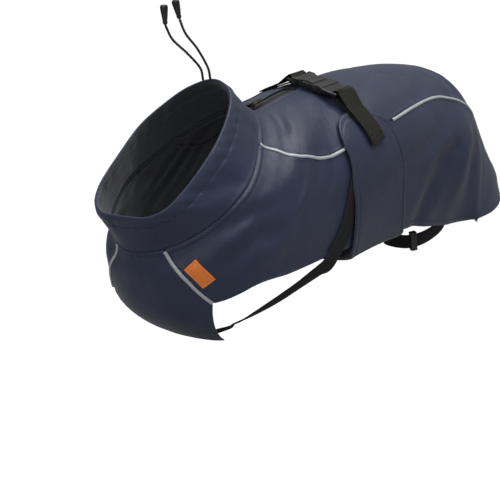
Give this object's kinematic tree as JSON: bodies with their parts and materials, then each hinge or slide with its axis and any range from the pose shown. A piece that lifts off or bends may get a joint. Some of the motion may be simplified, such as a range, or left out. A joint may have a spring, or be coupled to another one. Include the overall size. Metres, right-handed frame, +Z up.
{
  "type": "dog raincoat",
  "caption": "Softshell coat for a dog with a zip and a buckled belly belt on its back, a drawstring collar, piping and elastic leg loops.",
  "frame": {"origin": "on the inner face of the back, on the spine under the belt buckle, where the wearer's back holds the coat", "axes": "+Z up, -Y towards the collar, +X towards the coat's left side"},
  "size_m": [0.19, 0.6558, 0.3082],
  "materials": {
    "shell_cloth": "navy softshell, soft sheen",
    "reflective_piping": "grey reflective tape",
    "label_leather": "smooth tan leather",
    "zip_tape": "knitted tape, matt",
    "zip_metal": "black, glossy",
    "black_plastic": "moulded, satin gloss",
    "webbing": "ribbed belt webbing",
    "elastic": "ribbed elastic",
    "cord": "braided cord"
  },
  "bodies": {
    "coat": {"back_panel": "shell_cloth", "side_panel_left": "shell_cloth", "side_panel_right": "shell_cloth", "chest_panel": "shell_cloth", "collar": "shell_cloth", "belly_band": "shell_cloth", "side_piping_front_left": "reflective_piping", "side_piping_front_right": "reflective_piping", "side_piping_rear_left": "reflective_piping", "side_piping_rear_right": "reflective_piping", "chest_piping_left": "reflective_piping", "chest_piping_right": "reflective_piping", "label_patch": "label_leather", "zip_tape_left": "zip_tape", "zip_tape_right": "zip_tape", "zip_slider": "zip_metal", "buckle_female": "black_plastic", "buckle_male": "black_plastic", "leg_slider_left": "black_plastic", "leg_slider_right": "black_plastic", "cord_end_left": "black_plastic", "cord_end_right": "black_plastic", "webbing_left": "webbing", "webbing_right": "webbing", "chest_strap_left": "elastic", "chest_strap_right": "elastic", "leg_strap_left": "elastic", "leg_strap_right": "elastic", "drawstring_left": "cord", "drawstring_right": "cord"},
    "pull_tab": {"zip_pull_tab": "zip_metal"}
  },
  "joints": [
    {"name": "pull_tab_hinge", "type": "hinge", "parent": "coat", "child": "pull_tab", "pos_m": [0, -0.08872, -0.00952], "axis": [1, 0, 0], "range_deg": [0, 135]}
  ]
}
